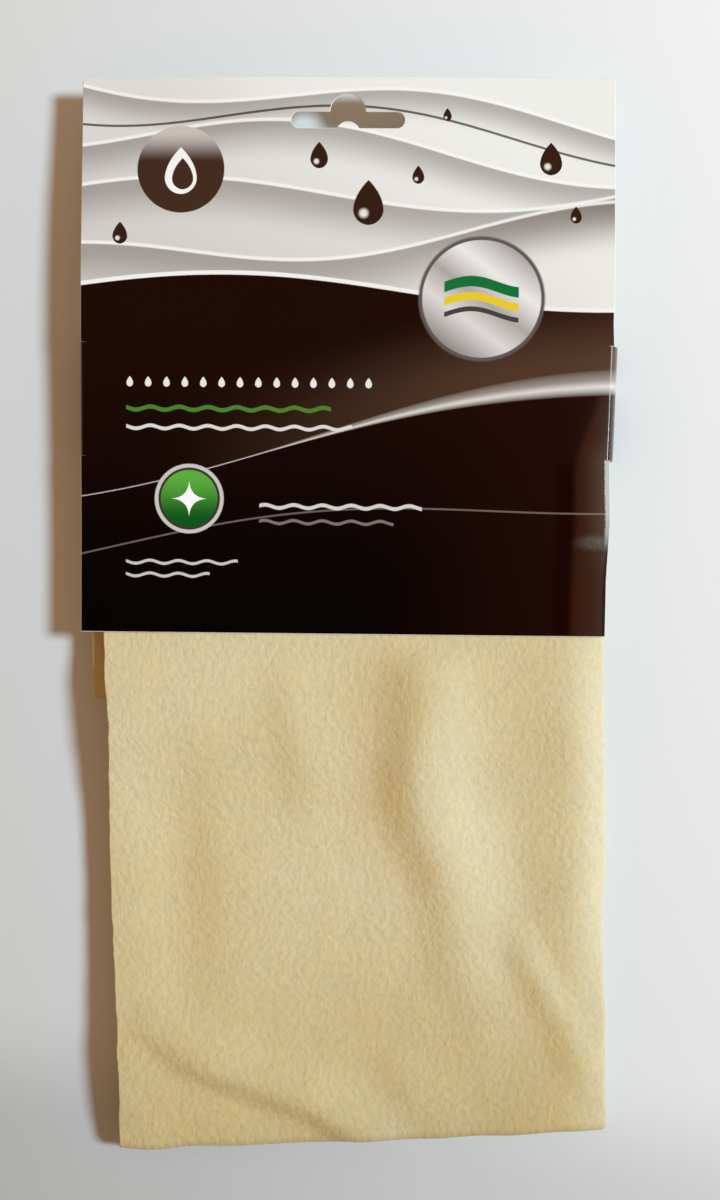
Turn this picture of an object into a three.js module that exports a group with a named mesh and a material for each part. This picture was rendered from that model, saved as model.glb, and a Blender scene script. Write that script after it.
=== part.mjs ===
// A chamois leather, folded flat and held in a printed card sleeve that hangs on a shop hook.
// Millimetres. It lies on its back: +X runs across the pack, +Y towards the hang slot, +Z up.
// The origin is on the surface that it lies on, under the middle of its outline.

import * as THREE from 'three';

// The leather sheet as it was cut, and how thick it is.
const sheetLength = 680;
const sheetWidth = 420;
const leatherThickness = 0.9;

// Folding: in three across, then in three along, with the last panel short and tucked between.
const layerGap = 0.45;
const tailShare = 0.528;
const acrossFoldSteps = 6;
const alongFoldSteps = 6;

// The pack isn't folded quite square: its bottom fold runs askew and its tail leans out. It also
// lies a little turned and off the middle of the sleeve.
const bottomSkew = 5;
const tailLean = 4;
const skewStartShare = 0.42;
const packTurn = THREE.MathUtils.degToRad(1.1);
const packOffset = 3.1;

// The card sleeve: a front panel with a strap at each side, joined behind the pack.
const cardThickness = 0.45;
const panelHeight = 157;
const headerReach = 32.6;
const sideRoom = 4.6;
const sleeveClearance = 0.3;

// The straps, their creases and the lap where they are glued together behind.
const strapDrop = 75;
const strapHeight = 32;
const creaseRadius = 0.7;
const creaseLead = 0.6;
const strapBow = 1.3;
const lapWidth = 24;
const reliefCut = 0.5;
const creaseSteps = 4;
const bowSteps = 6;

// The hang slot: two arms, a round hump above them and a small bump below.
const slotDrop = 9.8;
const slotLength = 32;
const slotHeight = 4.5;
const humpRadius = 5;
const bumpRadius = 3.6;
const bumpHeight = 1.9;
const slotSteps = 10;

// Where the layers step up over the straps and down past the tail's end.
const riseLead = 4;
const riseLength = 26;
const stepLead = 3;
const stepLength = 34;
const riseSteps = 3;
const stepSteps = 4;

// Folded sizes that follow from the sheet.
const layerPitch = leatherThickness + layerGap;
const acrossRadius = layerPitch / 2;
const flatAcross = (sheetWidth - 2 * Math.PI * acrossRadius) / 3;
const packWidth = flatAcross + 2 * acrossRadius + leatherThickness;
const stripPitch = 3 * layerPitch;
const alongRadius = stripPitch / 2;
const stripHalf = layerPitch + leatherThickness / 2;
const foldReach = alongRadius + stripHalf;
const flatAlong = (sheetLength - 2 * Math.PI * alongRadius - foldReach) / (2 + tailShare);
const tailLength = tailShare * flatAlong;
const foldedLength = flatAlong + 2 * foldReach;

// Places along Y.
const cornerDrop = bottomSkew / 2 + Math.sin(packTurn) * packWidth / 2;
const overallLength = headerReach + foldedLength + cornerDrop;
const panelTop = overallLength / 2;
const panelBottom = panelTop - panelHeight;
const packTop = panelTop - headerReach;
const packBottom = packTop - foldedLength;
const topFoldY = packTop - foldReach;
const bottomFoldY = packBottom + foldReach;
const tailEnd = topFoldY - tailLength;
const strapTop = panelTop - strapDrop;
const strapBottom = strapTop - strapHeight;

// Heights. The straps lie double under the pack, which rises to clear them.
const packLift = 2 * cardThickness + sleeveClearance;
const backHeight = stripHalf;
const panelUnderside = packLift + 2 * stripPitch + 2 * stripHalf + sleeveClearance;
const panelMiddle = panelUnderside + cardThickness / 2;

// Places across X.
const panelWidth = packWidth + 2 * sideRoom;
const creaseX = panelWidth / 2 - cardThickness / 2 - creaseRadius;
const strapRootX = creaseX - creaseLead;

const leatherFinish = new THREE.MeshStandardMaterial({ color: 0xd8c696, roughness: 0.95, metalness: 0 });
const cardFinish = new THREE.MeshStandardMaterial({ color: 0x2b2320, roughness: 0.35, metalness: 0 });

function smoothStep(from, to, value) {
  const share = THREE.MathUtils.clamp((value - from) / (to - from), 0, 1);
  return share * share * (3 - 2 * share);
}

// Both sides of a line of points, each half a thickness away, in the line's own order.
function offsetSides(line, thickness) {
  const sides = { left: [], right: [] };
  line.forEach((point, index) => {
    const before = line[Math.max(index - 1, 0)];
    const after = line[Math.min(index + 1, line.length - 1)];
    const along = after.clone().sub(before).normalize();
    const across = new THREE.Vector2(-along.y, along.x).multiplyScalar(thickness / 2);
    sides.left.push(point.clone().add(across));
    sides.right.push(point.clone().sub(across));
  });
  return sides;
}

// Points on an arc, its first and last among them.
function arcPoints(centreX, centreY, radius, fromAngle, toAngle, steps) {
  return Array.from({ length: steps + 1 }, (_, step) => {
    const angle = THREE.MathUtils.lerp(fromAngle, toAngle, step / steps);
    return new THREE.Vector2(centreX + radius * Math.cos(angle), centreY + radius * Math.sin(angle));
  });
}

// The sheet's middle line across the pack: the top layer from its cut edge at the left, a fold
// at the right, the middle layer, a fold at the left and the bottom layer.
function acrossLine() {
  const right = flatAcross / 2;
  const left = -right;
  const quarter = Math.PI / 2;
  return [
    new THREE.Vector2(left, layerPitch),
    ...arcPoints(right, acrossRadius, acrossRadius, quarter, -quarter, acrossFoldSteps),
    ...arcPoints(left, -acrossRadius, acrossRadius, quarter, 3 * quarter, acrossFoldSteps),
    new THREE.Vector2(right, -layerPitch),
  ];
}

// How far the pack is lifted over the straps, and how far the front panel lies over the back one.
function liftAt(y) {
  const riseEnd = strapBottom - riseLead;
  return packLift * smoothStep(riseEnd - riseLength, riseEnd, y);
}

function frontRiseAt(y) {
  const stepTop = tailEnd - stepLead;
  return stripPitch * (1 + smoothStep(stepTop - stepLength, stepTop, y));
}

// A station of the folded strip: a place in the Y-Z plane, and the way its own upper side faces.
function runStation(y, heightAt, facing) {
  const probe = layerGap / 2;
  const slope = (heightAt(y + probe) - heightAt(y - probe)) / (2 * probe);
  const up = new THREE.Vector2(-slope, 1).normalize().multiplyScalar(facing);
  return { y, z: heightAt(y), up, lean: 0 };
}

function foldStations(y, z, radius, fromAngle, toAngle) {
  const centre = new THREE.Vector2(y, z);
  return arcPoints(y, z, radius, fromAngle, toAngle, alongFoldSteps).map((point) => {
    return { y: point.x, z: point.y, up: point.clone().sub(centre).normalize(), lean: 0 };
  });
}

function spacedPlaces(from, to, steps) {
  return Array.from({ length: steps + 1 }, (_, step) => THREE.MathUtils.lerp(from, to, step / steps));
}

// The strip's route: the front panel down to the bottom fold, the back panel up to the top
// fold, and the tail tucked between them.
function alongStations() {
  const quarter = Math.PI / 2;
  const riseEnd = strapBottom - riseLead;
  const risePlaces = spacedPlaces(riseEnd, riseEnd - riseLength, riseSteps);
  const stepTop = tailEnd - stepLead;
  const stepPlaces = spacedPlaces(stepTop, stepTop - stepLength, stepSteps);
  const backAt = (y) => backHeight + liftAt(y);
  const frontAt = (y) => backAt(y) + frontRiseAt(y);
  const tailAt = (y) => backAt(y) + stripPitch;

  const front = [packTop, ...risePlaces, ...stepPlaces].map((y) => runStation(y, frontAt, 1));
  const bottomFold = foldStations(bottomFoldY, backHeight + alongRadius, alongRadius, quarter, 3 * quarter);
  const back = risePlaces.toReversed().map((y) => runStation(y, backAt, -1));
  const topCentre = backHeight + packLift + alongRadius;
  const topFold = foldStations(topFoldY, topCentre, alongRadius, -quarter, quarter);
  const tail = [...risePlaces, tailEnd].map((y) => runStation(y, tailAt, 1));
  tail.forEach((station) => {
    station.lean = tailLean * (topFoldY - station.y) / tailLength;
  });
  return [...front, ...bottomFold, ...back, ...topFold, ...tail];
}

// One corner of the sheet: the section's point carried to a station, then drawn askew in plan.
function placeCorner(point, station) {
  const y = station.y + point.y * station.up.x;
  const z = station.z + point.y * station.up.y;
  const skewStart = packBottom + skewStartShare * foldedLength;
  const skew = bottomSkew * (1 - smoothStep(packBottom, skewStart, y)) * point.x / packWidth;
  return [point.x - station.lean, y + skew, z];
}

// The folded sheet, one unbroken skin: the thick section swept along the stations and capped.
function foldedSheet() {
  const sides = offsetSides(acrossLine(), leatherThickness);
  const outline = [...sides.left, ...sides.right.toReversed()];
  const stations = alongStations();
  const count = outline.length;
  const positions = stations.flatMap((station) => outline.flatMap((point) => placeCorner(point, station)));
  const faces = [];
  const addQuad = (a, b, c, d) => faces.push(a, b, c, a, c, d);
  for (let row = 0; row < stations.length - 1; row += 1) {
    for (let column = 0; column < count; column += 1) {
      const next = (column + 1) % count;
      const here = row * count;
      addQuad(here + column, here + count + column, here + count + next, here + next);
    }
  }
  const last = (stations.length - 1) * count;
  for (let column = 0; column < count / 2 - 1; column += 1) {
    const facing = count - 1 - column;
    addQuad(column, column + 1, facing - 1, facing);
    addQuad(last + column, last + facing, last + facing - 1, last + column + 1);
  }
  const geometry = new THREE.BufferGeometry();
  geometry.setAttribute('position', new THREE.Float32BufferAttribute(positions, 3));
  geometry.setIndex(faces);
  geometry.computeVertexNormals();
  return geometry;
}

// The hang slot's outline, its middle at the middle of the arms' top edge.
function hangSlot(centreY) {
  const quarter = Math.PI / 2;
  const endRadius = slotHeight / 2;
  const endX = slotLength / 2 - endRadius;
  const bumpCentre = bumpHeight - bumpRadius;
  const bumpAngle = Math.asin((bumpRadius - bumpHeight) / bumpRadius);
  const floorY = centreY - slotHeight;
  return new THREE.Path([
    ...arcPoints(-endX, centreY - endRadius, endRadius, quarter, 3 * quarter, slotSteps),
    ...arcPoints(0, floorY + bumpCentre, bumpRadius, Math.PI - bumpAngle, bumpAngle, slotSteps),
    ...arcPoints(endX, centreY - endRadius, endRadius, -quarter, quarter, slotSteps),
    ...arcPoints(0, centreY, humpRadius, 0, Math.PI, slotSteps),
  ]);
}

// The front panel, cut back at each side where a strap folds off it.
function frontPanel() {
  const outerX = panelWidth / 2;
  const recessTop = strapTop + reliefCut;
  const recessBottom = strapBottom - reliefCut;
  const rightSide = [
    [outerX, panelBottom],
    [outerX, recessBottom],
    [strapRootX, recessBottom],
    [strapRootX, recessTop],
    [outerX, recessTop],
    [outerX, panelTop],
  ].map(([x, y]) => new THREE.Vector2(x, y));
  const leftSide = rightSide.map((point) => new THREE.Vector2(-point.x, point.y)).reverse();
  const outline = new THREE.Shape([...rightSide, ...leftSide]);
  outline.holes.push(hangSlot(panelTop - slotDrop));
  return new THREE.ExtrudeGeometry(outline, { depth: cardThickness, bevelEnabled: false });
}

// A strap's middle line, seen from the bottom: off the panel's side, round its crease, down the
// bowed side wall, round the lower crease and in under the pack to the lap.
function strapLine(side, flapMiddle) {
  const quarter = Math.PI / 2;
  const wallTop = panelMiddle - creaseRadius;
  const wallBottom = flapMiddle + creaseRadius;
  const wallX = creaseX + creaseRadius;
  const wall = Array.from({ length: bowSteps - 1 }, (_, step) => {
    const share = (step + 1) / bowSteps;
    const bulge = strapBow * 4 * share * (1 - share);
    return new THREE.Vector2(wallX + bulge, THREE.MathUtils.lerp(wallTop, wallBottom, share));
  });
  const line = [
    new THREE.Vector2(strapRootX, panelMiddle),
    ...arcPoints(creaseX, wallTop, creaseRadius, quarter, 0, creaseSteps),
    ...wall,
    ...arcPoints(creaseX, wallBottom, creaseRadius, 0, -quarter, creaseSteps),
    new THREE.Vector2(-lapWidth / 2, flapMiddle),
  ];
  return line.map((point) => new THREE.Vector2(side * point.x, point.y));
}

function strap(side, flapMiddle) {
  const sides = offsetSides(strapLine(side, flapMiddle), cardThickness);
  const outline = new THREE.Shape([...sides.left, ...sides.right.toReversed()]);
  return new THREE.ExtrudeGeometry(outline, { depth: strapHeight, bevelEnabled: false });
}

function namedMesh(name, geometry, material) {
  const mesh = new THREE.Mesh(geometry, material);
  mesh.name = name;
  return mesh;
}

const leather = namedMesh('chamois_leather', foldedSheet(), leatherFinish);
leather.position.x = packOffset;
leather.rotation.z = packTurn;

const panel = namedMesh('sleeve_front_panel', frontPanel(), cardFinish);
panel.position.z = panelUnderside;

const rightStrap = namedMesh('sleeve_right_strap', strap(1, cardThickness / 2), cardFinish);
const leftStrap = namedMesh('sleeve_left_strap', strap(-1, cardThickness * 3 / 2), cardFinish);
for (const mesh of [rightStrap, leftStrap]) {
  mesh.rotation.x = Math.PI / 2;
  mesh.position.y = strapTop;
}

const sleeve = new THREE.Group();
sleeve.add(panel, rightStrap, leftStrap);

const group = new THREE.Group();
group.add(leather, sleeve);

export default group;
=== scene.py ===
"""A chamois leather, folded flat in a printed card sleeve, lying on a pale table.

Lengths are named in millimetres and placed in metres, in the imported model's own frame:
+X across the pack, +Y towards the hang slot, +Z up.
"""

import math

import bmesh
import bpy
import numpy as np
from mathutils import Euler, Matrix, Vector, noise


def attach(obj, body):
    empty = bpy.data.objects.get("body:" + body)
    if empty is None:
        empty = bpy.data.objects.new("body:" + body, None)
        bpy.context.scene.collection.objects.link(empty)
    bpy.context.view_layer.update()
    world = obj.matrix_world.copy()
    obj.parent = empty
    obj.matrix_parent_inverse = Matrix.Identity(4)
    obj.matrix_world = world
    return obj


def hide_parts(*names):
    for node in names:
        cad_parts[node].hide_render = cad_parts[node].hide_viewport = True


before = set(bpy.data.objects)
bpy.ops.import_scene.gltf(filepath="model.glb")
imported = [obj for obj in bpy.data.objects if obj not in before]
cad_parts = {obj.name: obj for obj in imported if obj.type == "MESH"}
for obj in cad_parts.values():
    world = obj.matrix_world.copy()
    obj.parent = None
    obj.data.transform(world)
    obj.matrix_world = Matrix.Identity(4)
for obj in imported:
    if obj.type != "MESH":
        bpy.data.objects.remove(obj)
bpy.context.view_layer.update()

MM = 0.001
QUARTER = math.pi / 2

# The leather sheet as it was cut, and how it is folded: in three across, then in three along.
SHEET_WIDTH = 420
SHEET_LENGTH = 680
LEATHER_THICK = 0.9
LAYER_PITCH = 1.35
STRIP_PITCH = 3 * LAYER_PITCH
ACROSS_RADIUS = LAYER_PITCH / 2
ALONG_RADIUS = STRIP_PITCH / 2
STRIP_HALF = LAYER_PITCH + LEATHER_THICK / 2
FOLD_REACH = ALONG_RADIUS + STRIP_HALF
FLAT_ACROSS = (SHEET_WIDTH - 2 * math.pi * ACROSS_RADIUS) / 3
PACK_WIDTH = FLAT_ACROSS + 2 * ACROSS_RADIUS + LEATHER_THICK
PACK_HALF = PACK_WIDTH / 2
TAIL_SHARE = 0.528
FLAT_ALONG = (SHEET_LENGTH - 2 * math.pi * ALONG_RADIUS - FOLD_REACH) / (2 + TAIL_SHARE)
TAIL_LENGTH = TAIL_SHARE * FLAT_ALONG
FOLDED_LENGTH = FLAT_ALONG + 2 * FOLD_REACH

# How the folded pack strays from square.
BOTTOM_SKEW = 5
SKEW_SHARE = 0.42
TAIL_LEAN = 4.3
PACK_TURN = math.radians(1.1)
PACK_OFFSET = 3.1

# The card sleeve.
CARD_THICK = 0.45
PANEL_HEIGHT = 157
PANEL_MARGIN = 4.6
HEADER_REACH = 32.6
STRAP_DROP = 75
STRAP_HEIGHT = 32
CREASE_RADIUS = 0.7
CREASE_LEAD = 0.6
LAP_WIDTH = 24
RELIEF_CUT = 0.12
CARD_CLEARANCE = 0.3
CARD_BEVEL = 0.15

# The hang slot: two round-ended arms, a hump above them and a small bump below.
SLOT_DROP = 9.8
SLOT_LENGTH = 32
SLOT_HEIGHT = 4.5
SLOT_HUMP = 5
SLOT_BUMP = 3.6
SLOT_BUMP_RISE = 1.9

# Places along Y. The card and the turned pack together are centred.
TURN_RISE = math.sin(PACK_TURN) * PACK_HALF
PANEL_TOP = (HEADER_REACH + FOLDED_LENGTH + BOTTOM_SKEW / 2 + TURN_RISE) / 2
PANEL_BOTTOM = PANEL_TOP - PANEL_HEIGHT
PACK_TOP = PANEL_TOP - HEADER_REACH
PACK_BOTTOM = PACK_TOP - FOLDED_LENGTH
TOP_FOLD_Y = PACK_TOP - FOLD_REACH
BOTTOM_FOLD_Y = PACK_BOTTOM + FOLD_REACH
TAIL_END = TOP_FOLD_Y - TAIL_LENGTH
STRAP_TOP = PANEL_TOP - STRAP_DROP
STRAP_BOTTOM = STRAP_TOP - STRAP_HEIGHT

# Heights and places across.
PACK_LIFT = 2 * CARD_THICK + CARD_CLEARANCE
THICK_PACK = 2 * STRIP_PITCH + 2 * STRIP_HALF
PANEL_MIDDLE = PACK_LIFT + THICK_PACK + CARD_CLEARANCE + CARD_THICK / 2
PANEL_HALF = PACK_HALF + PANEL_MARGIN
CREASE_X = PANEL_HALF - CARD_THICK / 2 - CREASE_RADIUS
STRAP_ROOT = CREASE_X - CREASE_LEAD


def smooth_step(start, end, value):
    share = np.clip((value - start) / (end - start), 0, 1)
    return share * share * (3 - 2 * share)


def lerp(start, end, share):
    return start + (end - start) * share


def stray_at(table, y):
    return np.interp(y, *zip(*table))


def tint(red, green, blue):
    """A colour as it is read off a screen, from 0 to 255, made linear."""
    def linear(part):
        part /= 255
        return part / 12.92 if part <= 0.04045 else ((part + 0.055) / 1.055) ** 2.4
    return (linear(red), linear(green), linear(blue), 1.0)


# ---- the camera and the light

# The camera is above the middle of the pack and looks almost straight down.
SENSOR_WIDTH = 36
FOCAL_LENGTH = 51.6
CAMERA_PLACE = (0.0150, 0.0118, 0.5)
CAMERA_ANGLES = (-0.666, 1.212, 0.583)

# One soft lamp stands at the right. The room round it is dim and warm.
KEY_PLACE = Vector((6.98, 1.06, 7.53))
KEY_SIZE = 2.1
KEY_SHARE = (0.61, 0.79, 0.93)
FILL_SHARE = (0.487, 0.299, 0.172)
CEILING_SHARE = 0.06
PALE_WALL = tint(222, 222, 221)


def make_camera():
    lens = bpy.data.cameras.new("camera")
    lens.sensor_width = SENSOR_WIDTH
    lens.lens = FOCAL_LENGTH
    camera = bpy.data.objects.new("camera", lens)
    bpy.context.scene.collection.objects.link(camera)
    camera.location = CAMERA_PLACE
    camera.rotation_euler = Euler([math.radians(angle) for angle in CAMERA_ANGLES])
    bpy.context.scene.camera = camera


def make_lights():
    """The lamp. Its power follows its place, so that moving it leaves the table as bright."""
    lamp = bpy.data.lights.new("key_lamp", "AREA")
    lamp.shape = "DISK"
    lamp.size = KEY_SIZE
    lamp.color = KEY_SHARE
    lamp.energy = math.pi**2 * KEY_PLACE.length**3 / KEY_PLACE.z
    key = bpy.data.objects.new("key_lamp", lamp)
    key.location = KEY_PLACE
    key.rotation_euler = KEY_PLACE.to_track_quat("Z", "Y").to_euler()
    bpy.context.scene.collection.objects.link(key)


# ---- materials

class Value:
    """A socket of a shader. Python's operators on it add Math nodes."""

    def __init__(self, finish, socket):
        self.finish = finish
        self.socket = socket

    def math(self, operation, *others):
        return self.finish.node("ShaderNodeMath", {"operation": operation}, [self, *others])

    def __add__(self, other):
        return self.math("ADD", other)

    __radd__ = __add__

    def __sub__(self, other):
        return self.math("SUBTRACT", other)

    def __rsub__(self, other):
        return self.finish.node("ShaderNodeMath", {"operation": "SUBTRACT"}, [other, self])

    def __mul__(self, other):
        return self.math("MULTIPLY", other)

    def __truediv__(self, other):
        return self.math("DIVIDE", other)

    def __pow__(self, other):
        return self.math("POWER", other)

    def __abs__(self):
        return self.math("ABSOLUTE")


class Finish:
    """A material, or a world, that is put together node by node."""

    def __init__(self, name, holder=None):
        self.material = holder or bpy.data.materials.new(name)
        self.material.use_nodes = True
        self.tree = self.material.node_tree
        self.tree.nodes.clear()

    def node(self, kind, settings=None, sockets=(), out=0):
        """Adds a node, sets it up, then its inputs, by place or by name. Returns one output."""
        made = self.tree.nodes.new(kind)
        for key, value in (settings or {}).items():
            if key == "stops":
                ramp = made.color_ramp
                while len(ramp.elements) < len(value):
                    ramp.elements.new(1)
                for element, (place, colour) in zip(ramp.elements, value):
                    element.position = place
                    element.color = colour
            else:
                setattr(made, key, value)
        pairs = sockets.items() if isinstance(sockets, dict) else enumerate(sockets)
        for key, value in pairs:
            if isinstance(value, Value):
                self.tree.links.new(value.socket, made.inputs[key])
            elif value is not None:
                made.inputs[key].default_value = value
        return Value(self, made.outputs[out]) if made.outputs else None

    def parts(self, place):
        """A place's X, Y and Z."""
        first = self.node("ShaderNodeSeparateXYZ", {}, [place])
        return [Value(self, output) for output in first.socket.node.outputs]

    def step(self, value, start, end):
        """0 before start and 1 past end, with a smooth change between."""
        settings = {"interpolation_type": "SMOOTHSTEP"}
        return self.node("ShaderNodeMapRange", settings, [value, start, end, 0.0, 1.0])

    def fade(self, value, start, end):
        """1 before start and 0 past end."""
        return 1.0 - self.step(value, start, end)

    def mix(self, share, first, second, blend="MIX"):
        settings = {"data_type": "RGBA", "blend_type": blend}
        return self.node("ShaderNodeMix", settings, {0: share, 6: first, 7: second}, 2)

    def ramp(self, value, stops):
        return self.node("ShaderNodeValToRGB", {"stops": stops}, [value])

    def clouds(self, place, scale, detail=2.0, roughness=0.5):
        sockets = {"Vector": place, "Scale": scale, "Detail": detail, "Roughness": roughness}
        return self.node("ShaderNodeTexNoise", {}, sockets)

    def colour(self, red, green, blue):
        return self.node("ShaderNodeCombineColor", {}, [red, green, blue])

    def bump(self, height, strength, distance):
        sockets = {"Strength": strength, "Distance": distance, "Height": height}
        return self.node("ShaderNodeBump", {}, sockets)

    def looked_at(self):
        """1 for what the camera or a gloss sees, and 0 for the light that things receive."""
        camera = self.node("ShaderNodeLightPath", {}, out="Is Camera Ray")
        glossy = Value(self, camera.socket.node.outputs["Is Glossy Ray"])
        return camera.math("MAXIMUM", glossy)

    def surface(self, sockets):
        shader = self.node("ShaderNodeBsdfPrincipled", {}, sockets)
        self.node("ShaderNodeOutputMaterial", {}, [shader])
        return self.material


# The nap, in metres over the flat sheet. Its front runs from 0.68 down to its bottom fold at
# 0.41, and from its cut edge at 0 across to its right fold at 0.14.
NAP_SLANT = math.radians(-40)
NAP_SWAY = 0.004
LOW_FRONT = (0.41, 0.505)
RIGHT_FOLD = (0.126, 0.138)
# Over these rows the front darkens towards its bottom: a painted shade.
SHADED_FRONT = (0.42, 0.50)
# Where a painted shade darkens the middle of the front just above its bottom fold.
FOLD_SHADE_DOWN = (0.408, 0.432)
FOLD_SHADE_MIDDLE = 0.085
FOLD_SHADE_REACH = (0.015, 0.05)
PALE_NAP = tint(219, 208, 173)
YELLOW_NAP = tint(203, 181, 126)


def leather_finish():
    """Oil-tanned sheepskin: a short velvet nap, flecked, and painted paler on slopes that face the
    lamp.
    """
    f = Finish("chamois_nap")
    flat = f.node("ShaderNodeUVMap", {"uv_map": "cut"})
    lit_slope = f.node("ShaderNodeAttribute", {"attribute_name": "nap_lay"}, out="Fac")
    across, down, _ = f.parts(flat)
    sway = f.node("ShaderNodeTexNoise", {}, {"Vector": flat, "Scale": 90.0, "Detail": 2.0}, 1)
    swept = f.node("ShaderNodeVectorMath", {"operation": "MULTIPLY_ADD"},
                   [sway, (NAP_SWAY, NAP_SWAY, 0.0), flat])
    nap_place = f.node("ShaderNodeMapping", {}, {
        "Vector": swept, "Rotation": (0, 0, NAP_SLANT), "Scale": (1.0, 0.8, 1.0)})
    broad = f.clouds(flat, 16.0, 2.0)
    patches = f.clouds(flat, 120.0, 3.0, 0.6)
    nap = f.clouds(nap_place, 580.0, 2.0, 0.5)
    grain = f.clouds(flat, 2400.0, 2.0)

    # Painted light: the nap is paler on slopes that face the lamp and on the right fold, which
    # faces it, and yellower on slopes that face away. It is yellower low down too.
    yellow = 0.52 - lit_slope * 1.9 + lit_slope.math("MAXIMUM", 0.0) * 0.9
    yellow = yellow + (broad - 0.5) * 0.9 + (patches - 0.5) * 0.6
    yellow = yellow + f.fade(down, *LOW_FRONT) * 0.38 - f.step(across, *RIGHT_FOLD) * 0.42
    base = f.mix(yellow, PALE_NAP, YELLOW_NAP)
    # A painted shade: the middle of the front is darker just above its bottom fold.
    painted_fold_shade = f.fade(down, *FOLD_SHADE_DOWN) * f.fade(abs(across - FOLD_SHADE_MIDDLE), *FOLD_SHADE_REACH)
    shade = 0.81 + (patches - 0.5) * 0.2 + nap * 0.23
    # Both painted shades are taken off here: the front darker towards its bottom, and above its
    # bottom fold.
    shade = shade - f.fade(down, *SHADED_FRONT) * 0.075 - painted_fold_shade * 0.08
    return f.surface({
        "Base Color": f.mix(1.0, base, f.colour(shade, shade, shade), "MULTIPLY"),
        "Roughness": 0.95,
        "Specular IOR Level": 0.15,
        "Sheen Weight": 0.12,
        "Sheen Roughness": 0.55,
        "Sheen Tint": tint(250, 240, 214),
        "Normal": f.bump(nap + patches * 0.9 + grain * 0.12, 0.55, 0.7 * MM),
    })


# The print, in millimetres from the middle of the flat blank and up from the panel's foot.
BLANK_SPAN = 400
STRAP_FOOT = STRAP_BOTTOM - PANEL_BOTTOM
STRAP_HEAD = STRAP_FOOT + STRAP_HEIGHT

# Waves: the height at the middle, the slope, the swing, how stretched it is, and its start.
SILVER_WAVES = [(150, -0.10, 5.0, 24.0, 0.6), (137, -0.06, 6.5, 27.0, 2.1),
                (124, 0.03, 6.0, 30.0, 3.3), (111, 0.08, 5.0, 25.0, 4.9)]
DARK_WAVE = (143.5, -0.08, 5.6, 25.5, 1.3)
DIVIDE_WAVE = (97, 0.0, 5.0, 33.0, 2.6)
SWELL_WAVE = (56, 0.16, 5.5, 38.0, 0.4)
TRAIL_WAVE = (31, 0.10, 4.5, 34.0, 1.9)

# Drops: the middle and the radius.
LOOSE_DROPS = [((-8, 134), 2.6), ((6, 120), 4.4), ((20, 129), 1.8), ((57, 133), 3.2),
               ((64, 118), 1.7), ((-64, 112), 2.2), ((28, 146), 1.3)]
DROP_ROW_Y = 70.6
DROP_ROW_ENDS = (-63.6, 9.2)
DROP_SPACING = 5.2
DROP_ROW_SHIFT = 198.8
SMALL_DROP = 1.05

# Badges: their middles, and the stripes of one, by height, half their width, and ink.
DROP_BADGE = (-47, 131)
STRIPE_BADGE = (38, 95)
GLINT_BADGE = (-44, 38)
STRIPES = [(3.4, 1.5, tint(18, 110, 52)), (-0.8, 1.1, tint(226, 196, 40)),
           (-4.4, 0.7, tint(70, 62, 58))]

# Thin waves: the height, half the width, both ends, and the ink.
THIN_WAVES = [(63.5, 0.5, -62, -4, tint(74, 124, 44)), (58.2, 0.4, -62, 2, tint(214, 211, 206)),
              (20.0, 0.3, -62, -30, tint(196, 192, 186)),
              (16.4, 0.3, -62, -38, tint(196, 192, 186)),
              (36.0, 0.42, -24, 22, tint(206, 203, 198)),
              (31.6, 0.32, -24, 14, tint(120, 112, 106))]
BROWN_INK = tint(66, 42, 30)
RIM_INK = tint(196, 192, 186)


def drop_mask(f, x, y, centre, radius):
    """A water drop, round below and drawn out to a point above."""
    across = abs(x - centre[0])
    up = y - centre[1]
    tip = radius * 1.9
    below = up.math("MINIMUM", 0.0)
    above = up.math("MAXIMUM", 0.0) / tip
    round_half = (radius * radius - below * below).math("MAXIMUM", 0.0).math("SQRT")
    taper = ((1.0 - above) * (1.0 + above * 0.9)).math("MAXIMUM", 0.0)
    return f.step(round_half * taper - across, 0.0, 0.24)


def disc_distance(x, y, centre):
    dx, dy = x - centre[0], y - centre[1]
    return (dx * dx + dy * dy).math("SQRT")


def wave(x, middle, slope, swing, stretch, start):
    return middle + x * slope + (x / stretch + start).math("SINE") * swing


def silver_ground(f, x, y):
    """Silver waves, each with a bright crest and a shade that fades away below it."""
    silver = f.mix(f.step(x * 0.6 + y, 60.0, 170.0), tint(203, 199, 193), tint(231, 231, 225))
    for number, crest in enumerate(SILVER_WAVES):
        depth = wave(x, *crest) - y
        shade = f.fade(depth, 0.0, 10.0 + 2.0 * number) * f.step(depth, -0.2, 0.2)
        silver = f.mix(shade * 0.62, silver, tint(120, 108, 100))
        silver = f.mix(f.fade(abs(depth + 0.5), 0.15, 0.75) * 0.8, silver, tint(242, 241, 238))
    dark_line = f.fade(abs(y - wave(x, *DARK_WAVE)), 0.22, 0.45)
    return f.mix(dark_line * 0.85, silver, tint(46, 28, 20))


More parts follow.
